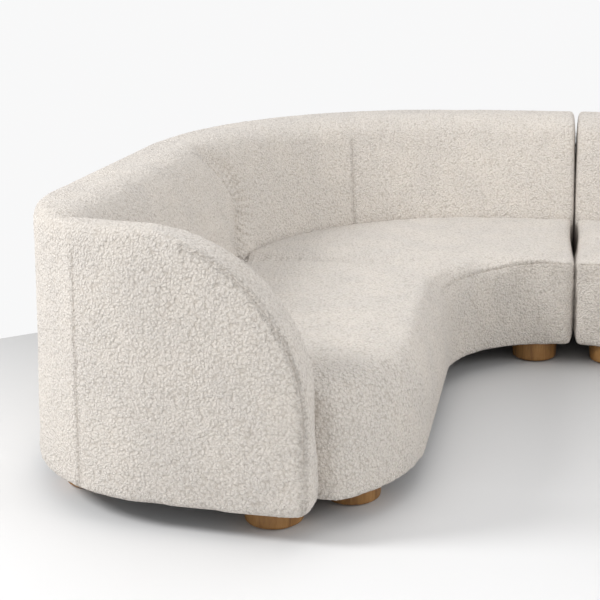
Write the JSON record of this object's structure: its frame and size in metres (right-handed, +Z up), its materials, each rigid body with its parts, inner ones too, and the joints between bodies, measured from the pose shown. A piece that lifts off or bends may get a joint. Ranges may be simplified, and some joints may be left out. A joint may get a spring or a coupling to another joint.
{
  "type": "sectional sofa",
  "caption": "U-shaped upholstered sectional sofa: two mirrored curved modules with wrap-around backs, low shoulder arms at the open end, and short round wooden legs.",
  "frame": {"origin": "on the floor, at the centre of the sofa's footprint box", "axes": "+X along the back to the sitter's left seen from the front, -Y out of the open side, +Z up"},
  "size_m": [3.13, 2.683, 0.812],
  "materials": {
    "boucle": "looped boucle, matt",
    "oak": "clear matt oil",
    "felt": "pressed felt",
    "steel": "zinc plated",
    "lining": "non-woven black lining",
    "foam": "open-cell upholstery foam",
    "plywood": "raw birch plywood",
    "softwood": "planed pine"
  },
  "bodies": {
    "left_module": {"left_arm_boards": "plywood", "left_arm_cover": "boucle", "left_arm_foam": "foam", "left_back_cover_rear": "boucle", "left_back_cover_side": "boucle", "left_back_foam_rear": "foam", "left_back_foam_side": "foam", "left_back_rail": "softwood", "left_back_ribs": "plywood", "left_base_board": "plywood", "left_connector": "steel", "left_connector_screws": "steel", "left_cross_boards": "softwood", "left_dust_cover": "lining", "left_front_rail": "softwood", "left_leg_arm_inner": "oak", "left_leg_arm_outer": "oak", "left_leg_bolts": "steel", "left_leg_corner": "oak", "left_leg_glides": "felt", "left_leg_seam_front": "oak", "left_leg_seam_rear": "oak", "left_leg_seat_front": "oak", "left_seam_panel": "softwood", "left_seat_cover_corner": "boucle", "left_seat_cover_side": "boucle", "left_seat_foam_corner": "foam", "left_seat_foam_side": "foam", "left_seat_springs": "steel", "left_top_rail": "softwood"},
    "right_module": {"right_arm_boards": "plywood", "right_arm_cover": "boucle", "right_arm_foam": "foam", "right_back_cover_rear": "boucle", "right_back_cover_side": "boucle", "right_back_foam_rear": "foam", "right_back_foam_side": "foam", "right_back_rail": "softwood", "right_back_ribs": "plywood", "right_base_board": "plywood", "right_connector": "steel", "right_connector_screws": "steel", "right_cross_boards": "softwood", "right_dust_cover": "lining", "right_front_rail": "softwood", "right_leg_arm_inner": "oak", "right_leg_arm_outer": "oak", "right_leg_bolts": "steel", "right_leg_corner": "oak", "right_leg_glides": "felt", "right_leg_seam_front": "oak", "right_leg_seam_rear": "oak", "right_leg_seat_front": "oak", "right_seam_panel": "softwood", "right_seat_cover_corner": "boucle", "right_seat_cover_side": "boucle", "right_seat_foam_corner": "foam", "right_seat_foam_side": "foam", "right_seat_springs": "steel", "right_top_rail": "softwood"}
  },
  "joints": [
    {"name": "module_lift", "type": "slide", "parent": "left_module", "child": "right_module", "axis": [0, 0, 1], "range_m": [0, 0.08]}
  ]
}
